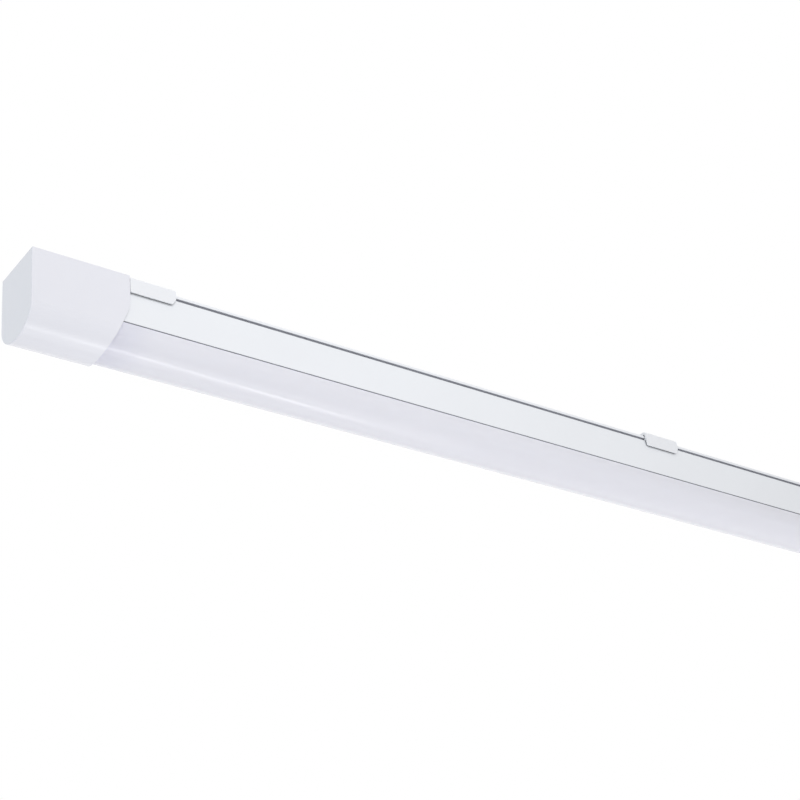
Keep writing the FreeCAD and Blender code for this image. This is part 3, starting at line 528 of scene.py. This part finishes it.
def makeCap():
    shape = capShape
    x = shape["endX"]
    edge = x + shape["length"]
    piece = drawHalfSection("endCapLeft", 0, x)
    drawOn((0, 0, shape["sideDepth"]))
    pickEdges(piece, lambda a, b: isSame(a.y, b.y) and isSame(abs(a.z - b.z), shape["sideDepth"]))
    bpy.ops.mesh.subdivide(number_cuts=shape["sideSteps"] - 1)
    pickVertices(piece, lambda place: isSame(place.z, 0))
    drawOn((0, shape["slotHalf"] - shape["halfWidth"], 0))
    drawOn((0, -shape["slotHalf"], 0))
    bpy.ops.mesh.select_all(action="SELECT")
    drawOn((shape["slotStart"], 0, 0))
    drawOn((shape["length"] - shape["slotStart"], 0, 0))
    closePiece()
    mirrorHalf(piece)
    openPiece(piece)
    pickVertices(piece, lambda place: isSame(place.x, x))
    bpy.ops.mesh.edge_face_add()
    pickFaces(piece, lambda middle: isSame(middle.z, 0) and abs(middle.y) < shape["slotHalf"]
              and middle.x > x + shape["slotStart"])
    bpy.ops.mesh.delete(type="FACE")
    mesh = bmesh.from_edit_mesh(piece.data)
    for vertex in mesh.verts:
        if isSame(vertex.co.x, edge):
            vertex.co.x = capEdgeX(-vertex.co.z)
    bmesh.update_edit_mesh(piece.data)
    turnOutwards()
    pickEdges(piece, lambda a, b: isSame(a.x, x) and isSame(b.x, x))
    bpy.ops.mesh.bevel(offset=shape["endRound"], segments=shape["endSteps"], affect="EDGES")
    closePiece()
    useModifier(piece, "SOLIDIFY", thickness=shape["wall"], offset=-1, use_even_offset=True)
    roundEdges(piece, *shape["rimRound"])
    smoothPiece(piece)
    return piece


capInside = {
    "stopStart": 0.0021,
    "stopEnd": 0.0047,
    "stopTop": 0.012,
    "stopFoot": 0.037,
    "stopWidth": 0.0032,
    "ribSpacing": 0.009,
    "ribWall": 0.0016,
    "tongueStart": 0.011,
    "tongueEnd": 0.068,
    "tongueTip": 0.02045,
    "tongueTop": 0.0068,
    "tongueFoot": 0.0084,
    "sunk": 0.0002,  # how far a bar goes into what carries it
    "round": (0.00025, 2, 50),
}


def makeCapInside():
    shape = capInside
    x = capShape["endX"]
    near, far = x + shape["stopStart"], x + shape["stopEnd"]
    tongueNear, tongueFar = x + shape["tongueStart"], x + shape["tongueEnd"]
    side = capShape["halfWidth"] - capShape["wall"] + shape["sunk"]
    inner = capShape["halfWidth"] - capShape["wall"] - shape["stopWidth"]
    top, foot = -shape["stopTop"], -shape["stopFoot"]
    upper, lower = top - shape["ribSpacing"], foot + shape["ribSpacing"]
    wall = shape["ribWall"]
    bars = []
    for hand in (-1, 1):
        low, high = sorted((inner * hand, side * hand))
        bars.append(startBlock("capStop", (near, low, foot), (far, high, top)))
        low, high = sorted((shape["tongueTip"] * hand, side * hand))
        tongueLow = (tongueNear, low, -shape["tongueFoot"])
        tongueHigh = (tongueFar, high, -shape["tongueTop"])
        bars.append(startBlock("capTongue", tongueLow, tongueHigh))
        low, high = sorted((inner * hand, (inner - wall) * hand))
        bars.append(startBlock("capPost", (near, low, lower + wall), (far, high, upper - wall)))
    reach = inner + shape["sunk"]
    bars.append(startBlock("capRibTop", (near, -reach, upper - wall), (far, reach, upper)))
    bars.append(startBlock("capRibFoot", (near, -reach, lower), (far, reach, lower + wall)))
    for bar in bars:
        roundEdges(bar, *shape["round"])
    return bars


leftCap = makeCap()
joinPieces(leftCap, makeCapInside())
smoothPiece(leftCap)
rightCap = copyPiece(leftCap, "endCapRight", turned=True)
dressPiece(leftCap, "cap_white", "left_cap", "end_cap_left")
dressPiece(rightCap, "cap_white", "right_cap", "end_cap_right")
print("end caps made")


# Opal cover: a rounded trough with a flange along each side

coverShape = {
    "endX": 0.5945,
    "inset": 0.0022,  # how far it lies inside the outline of the caps
    "wall": 0.0016,
    "shoulder": 0.0402,
    "hookTipY": 0.02055,
    "flangeFaceY": 0.01955,
    "flangeInnerY": 0.01815,
    "ribSeat": 0.0376,
    "hookFoot": 0.036,
    "hookTop": 0.0349,
    "edgeRound": (0.00025, 2, 40),
}


def makeCover():
    shape = coverShape
    x = -shape["endX"]
    depth = capShape["sideDepth"]
    half = capShape["halfWidth"] - shape["inset"]
    wallInner = half - shape["wall"]
    piece = drawHalfSection("opalCover", shape["inset"], x)
    drawCorners(half, depth, [
        (half, shape["shoulder"]),
        (shape["hookTipY"], shape["shoulder"]),
        (shape["hookTipY"], shape["ribSeat"]),
        (shape["flangeFaceY"], shape["ribSeat"]),
        (shape["flangeFaceY"], shape["hookFoot"]),
        (shape["hookTipY"], shape["hookFoot"]),
        (shape["hookTipY"], shape["hookTop"]),
        (shape["flangeInnerY"], shape["hookTop"]),
        (shape["flangeInnerY"], shape["shoulder"] + shape["wall"]),
        (wallInner, shape["shoulder"] + shape["wall"]),
        (wallInner, depth),
    ])
    run = capShape["halfWidth"] - capShape["cornerRadius"]
    angle = noseAngle()
    drawArc((x, run, -depth), angle - math.pi / 2, capShape["arcSteps"])
    drawArc((x, 0, noseRadius() - capShape["depth"]), -angle, capShape["arcSteps"])
    closePiece()
    mirrorHalf(piece)
    openPiece(piece)
    bpy.ops.mesh.select_all(action="SELECT")
    bpy.ops.mesh.edge_face_add()
    drawOn((shape["endX"] * 2, 0, 0))
    turnOutwards()
    closePiece()
    roundEdges(piece, *shape["edgeRound"])
    smoothPiece(piece)
    dressPiece(piece, "cover_opal", "light_unit", "diffuser_cover")


makeCover()
print("opal cover made")


# Housing: an extrusion with a groove along each side, with a darker colour painted inside the grooves
# as shade

housingShape = {
    "halfWidth": 0.02205,
    "top": 0.0031,
    "longEdge": 0.5,  # an edge longer than this runs along the light
    "crown": 0.002,
    "crownSteps": 6,
    "edgeRound": (0.0002, 2, 40),
    "grooveTop": 0.0064,
    "grooveFoot": 0.0088,
    "grooveFloor": 0.02005,
}


def isCrownEdge(a, b):  # the upper edges, outside and along the light
    shape = housingShape
    outside = abs(abs(a.y) - shape["halfWidth"]) < fineLimits["weld"]
    upper = a.z > -shape["top"] - fineLimits["weld"]
    return abs(a.x - b.x) > shape["longEdge"] and outside and upper


def makeHousing():
    shape = housingShape
    piece = copyNode("housing_profile", "housingShell")
    openPiece(piece)
    pickEdges(piece, isCrownEdge)
    bpy.ops.mesh.bevel(offset=shape["crown"], segments=shape["crownSteps"], affect="EDGES")
    closePiece()
    roundEdges(piece, *shape["edgeRound"])
    smoothPiece(piece)
    dressPiece(piece, "housing_coat", "light_unit", "housing_profile")
    # the faces inside the grooves take the darker colour, painted as shade
    piece.data.materials.append(finishes["groove_painted_shade"])
    edge = shape["edgeRound"][0]
    for face in piece.data.polygons:
        place = face.center
        inGroove = -shape["grooveFoot"] - edge / 2 < place.z < -shape["grooveTop"] + edge / 2
        if inGroove and shape["grooveFloor"] - edge < abs(place.y) < shape["halfWidth"] - edge:
            face.material_index = 1


makeHousing()
print("housing made")


# Clip brackets: a plate on the ceiling and two arms, each with a hook and a finger tab

armShape = {
    "halfLength": 0.01875,
    "outer": 0.02425,
    "bend": 0.003,
    "bendSteps": 10,
    "knuckle": 0.0014,
    "knuckleSteps": 14,
    "inner": 0.02235,
    "tabInner": 0.02305,
    "foot": 0.0138,
    "hookTop": 0.0067,
    "hookPoint": 0.0077,
    "hookFoot": 0.0085,
    "stepFoot": 0.0093,
    "hookTip": 0.0206,
    "trimLength": 0.0028,
    "trimHeight": 0.0046,
    "crownCut": 0.0016,
    "cornerRound": 0.001,
    "cornerSteps": 4,
    "edgeRound": (0.00045, 3, 40),
}


def isCornerEdge(a, b):  # edges across the tab, at its lower corners
    return isSame(a.x, b.x) and isSame(a.z, b.z) and a.z < -armShape["stepFoot"]


def makeArm(name):
    shape = armShape
    knuckle = shape["knuckle"]
    centre = Vector((shape["outer"] - knuckle, -knuckle))
    bend = shape["bend"]
    bendCentre = Vector((shape["outer"] - bend, -bend))
    lean = centre.x - shape["inner"]
    drop = math.sqrt(knuckle * knuckle - lean * lean)
    apart = (centre - bendCentre).length  # the two centres lie on a line at 45 degrees
    along = (bend * bend - knuckle * knuckle + apart * apart) / (2 * apart)
    bendAngle = math.pi / 4 + math.acos(along / bend)
    meet = bendCentre + Vector((math.cos(bendAngle), math.sin(bendAngle))) * bend
    startAngle = math.atan2(-drop, -lean) + math.tau
    meetAngle = math.atan2(meet.y - centre.y, meet.x - centre.x)
    x = -shape["halfLength"]
    piece = startPoint(name, (x, shape["inner"], centre.y - drop))
    drawArc((x, centre.x, centre.y), meetAngle - startAngle, shape["knuckleSteps"])
    drawArc((x, bendCentre.x, bendCentre.y), -bendAngle, shape["bendSteps"])
    drawCorners(shape["outer"], bend, [
        (shape["outer"], shape["foot"]),
        (shape["tabInner"], shape["foot"]),
        (shape["tabInner"], shape["stepFoot"]),
        (shape["inner"], shape["hookFoot"]),
        (shape["hookTip"], shape["hookPoint"]),
        (shape["hookTip"], shape["hookTop"]),
        (shape["inner"], shape["hookTop"]),
        (shape["inner"], drop - centre.y),
    ])
    bpy.ops.mesh.select_all(action="SELECT")
    bpy.ops.mesh.remove_doubles(threshold=fineLimits["weld"])
    bpy.ops.mesh.edge_face_add()
    drawOn((shape["halfLength"] * 2, 0, 0))
    turnOutwards()
    trimTop = (x, 0, shape["trimHeight"] - shape["foot"])
    cutOff(trimTop, (-shape["trimHeight"], 0, -shape["trimLength"]))
    for hand in (-1, 1):
        cutOff((shape["halfLength"] * hand, 0, -shape["crownCut"]), (hand, 0, 1))
    pickEdges(piece, isCornerEdge)
    bpy.ops.mesh.bevel(offset=shape["cornerRound"], segments=shape["cornerSteps"], affect="EDGES")
    closePiece()
    roundEdges(piece, *shape["edgeRound"])
    smoothPiece(piece)
    return piece


bracketShape = {
    "middles": {"left": -0.50475, "centre": 0, "right": 0.50475},
    "baseRound": 0.0003,
}
firstArm = makeArm("bracketArmFirst")
for place, middle in bracketShape["middles"].items():
    name = place.capitalize()
    names = (f"bracket_{place}", f"bracketBase{name}", f"{place}_bracket")
    softenNode(*names, "bracket_white", bracketShape["baseRound"])
    rear = copyPiece(firstArm, f"bracketArm{name}Rear", shift=(middle, 0, 0))
    front = copyPiece(firstArm, f"bracketArm{name}Front", shift=(middle, 0, 0), turned=True)
    dressPiece(rear, "bracket_white", f"{place}_rear_arm", f"bracket_{place}_arm_rear")
    dressPiece(front, "bracket_white", f"{place}_front_arm", f"bracket_{place}_arm_front")
bpy.data.objects.remove(firstArm)
print("brackets made")


# Inner parts, with the soft edges of moulded, stamped and turned pieces

softParts = {  # piece, finish and the width of its rounded edges
    "terminal_block": ("terminalBlock", "terminal_grey", 0.00035),
    "terminal_contacts": ("terminalContacts", "contact_metal", 0.0001),
    "cable_grommet": ("cableGrommet", "grommet_rubber", 0.0004),
    "blanking_grommet": ("blankingGrommet", "grommet_rubber", 0.0004),
    "board_plug_left": ("boardPlugLeft", "plug_white", 0.00025),
    "board_plug_right": ("boardPlugRight", "plug_white", 0.00025),
    "driver_case": ("driverCase", "driver_shell", 0.00015),
    "driver_lid": ("driverLid", "driver_shell", 0.00015),
    "driver_choke": ("driverChoke", "winding", 0.0004),
    "driver_transformer": ("driverTransformer", "winding", 0.0004),
    "driver_capacitor": ("driverCapacitor", "capacitor_sleeve", 0.0005),
    "driver_screws": ("driverScrews", "zinc_steel", 0.00012),
    "terminal_screw": ("terminalScrew", "zinc_steel", 0.00012),
    "earth_screw": ("earthScrew", "zinc_steel", 0.00012),
    "earth_lug": ("earthLug", "contact_metal", 0.00012),
    "wire_saddles": ("wireSaddles", "saddle_nylon", 0.00025),
}
softButtons = {"wires": ("live", "neutral", "earth"), "round": 0.0003}
for nodeName, (pieceName, slot, width) in softParts.items():
    softenNode(nodeName, pieceName, "light_unit", slot, width)
for wire in softButtons["wires"]:
    names = (f"release_button_{wire}", f"releaseButton{wire.capitalize()}", f"{wire}_button")
    softenNode(*names, "button_orange", softButtons["round"])
print("inner parts made:", len(softParts) + len(softButtons["wires"]))


# Stage

floorLook = {
    "height": -1.7,
    "size": 44,
    "colour": (0.9, 0.9, 0.905),
    "roughness": 0.8,
    "drift": 0.01,
    "driftScale": 1.5,
}
bpy.ops.object.select_all(action="DESELECT")
bpy.ops.mesh.primitive_plane_add(size=floorLook["size"], location=(0, 0, floorLook["height"]))
floor = bpy.context.object
floor.name = "studioFloor"
applyPlace()
floorFinish, floorTree, floorShader = startFinish("floor_finish", floorLook)
floorColour = driftColour(floorTree, {**commonLook, **floorLook})
floorTree.links.new(floorColour, floorShader.inputs["Base Color"])
floor.data.materials.append(floorFinish)

worldLook = {
    "colour": (1, 1, 1, 1),
    "ambient": 0.75,
    "seen": 1,  # where the camera, a reflection or something clear shows it
}
world = bpy.data.worlds.new("studioWorld")
bpy.context.scene.world = world
world.use_nodes = True
worldTree = world.node_tree
paths = newNode(worldTree, "ShaderNodeLightPath", {})
seen = paths.outputs["Is Camera Ray"]
for ray in ("Is Glossy Ray", "Is Transmission Ray"):
    sockets = {0: seen, 1: paths.outputs[ray]}
    seen = newNode(worldTree, "ShaderNodeMath", sockets, operation="MAXIMUM").outputs[0]
strength = addSpan(worldTree, seen, (0, 1), worldLook["ambient"], worldLook["seen"])
background = worldTree.nodes["Background"]
background.inputs["Color"].default_value = worldLook["colour"]
worldTree.links.new(strength, background.inputs["Strength"])

lamps = {  # mirrored: whether the lamp shows in glossy surfaces
    "keyLamp": {
        "place": (-0.6, -1.2, 0.55), "aim": (-0.42, 0, -0.03), "along": (1, 0, 0),
        "size": (0.8, 0.5), "power": 1.13, "spread": 76, "colour": (1, 1, 1), "mirrored": False,
    },
    "streakLamp": {  # its reflection is the long streak on the cover
        "place": (0.08, 0.055, -1.17), "aim": (0.08, 0.055, 0), "along": (0.8, 0.6, 0),
        "size": (0.72, 0.13), "power": 1.05, "spread": 180, "colour": (1, 1, 1), "mirrored": True,
    },
    "underLamp": {
        "place": (-0.12, 0.05, -1.45), "aim": (-0.12, 0, -0.03), "along": (1, 0, 0),
        "size": (1.8, 1.1), "power": 6.5, "spread": 180, "colour": (1, 1, 1), "mirrored": True,
    },
    "endLamp": {
        "place": (-1.8, -0.1, -0.3), "aim": (-0.6, 0, -0.03), "along": (0, 1, 0),
        "size": (0.7, 0.7), "power": 0.49, "spread": 90, "colour": (0.6, 0.9, 1), "mirrored": True,
    },
}
for name, lamp in lamps.items():
    bpy.ops.object.select_all(action="DESELECT")
    bpy.ops.object.light_add(type="AREA", location=lamp["place"])
    light = bpy.context.object
    light.name = name
    light.data.shape = "RECTANGLE"
    light.data.size, light.data.size_y = lamp["size"]
    light.data.energy = lamp["power"]
    light.data.spread = math.radians(lamp["spread"])
    light.data.color = lamp["colour"]
    light.visible_glossy = lamp["mirrored"]
    away = (Vector(lamp["place"]) - Vector(lamp["aim"])).normalized()
    side = Vector(lamp["along"])
    side = (side - away * side.dot(away)).normalized()
    light.rotation_euler = Matrix((side, away.cross(side), away)).transposed().to_euler()

cameraLook = {  # fitted to the edges of the light in the photograph
    "place": (-1.030063, -0.940811, -0.744206),
    "right": (0.80924694, -0.57917177, -0.09838418),
    "up": (-0.23088461, -0.46755048, 0.85328122),
    "lens": 79.22,
    "sensor": 36,
    "nearest": 0.01,
    "farthest": 60,
}
bpy.ops.object.select_all(action="DESELECT")
bpy.ops.object.camera_add(location=cameraLook["place"])
camera = bpy.context.object
camera.name = "photoCamera"
right, up = Vector(cameraLook["right"]), Vector(cameraLook["up"])
camera.rotation_euler = Matrix((right, up, right.cross(up))).transposed().to_euler()
camera.data.sensor_width = cameraLook["sensor"]
camera.data.lens = cameraLook["lens"]
camera.data.clip_start = cameraLook["nearest"]
camera.data.clip_end = cameraLook["farthest"]
bpy.context.scene.camera = camera
bpy.context.scene.view_settings.view_transform = "Standard"
print("stage, lamps and camera set")

bpy.context.view_layer.update()
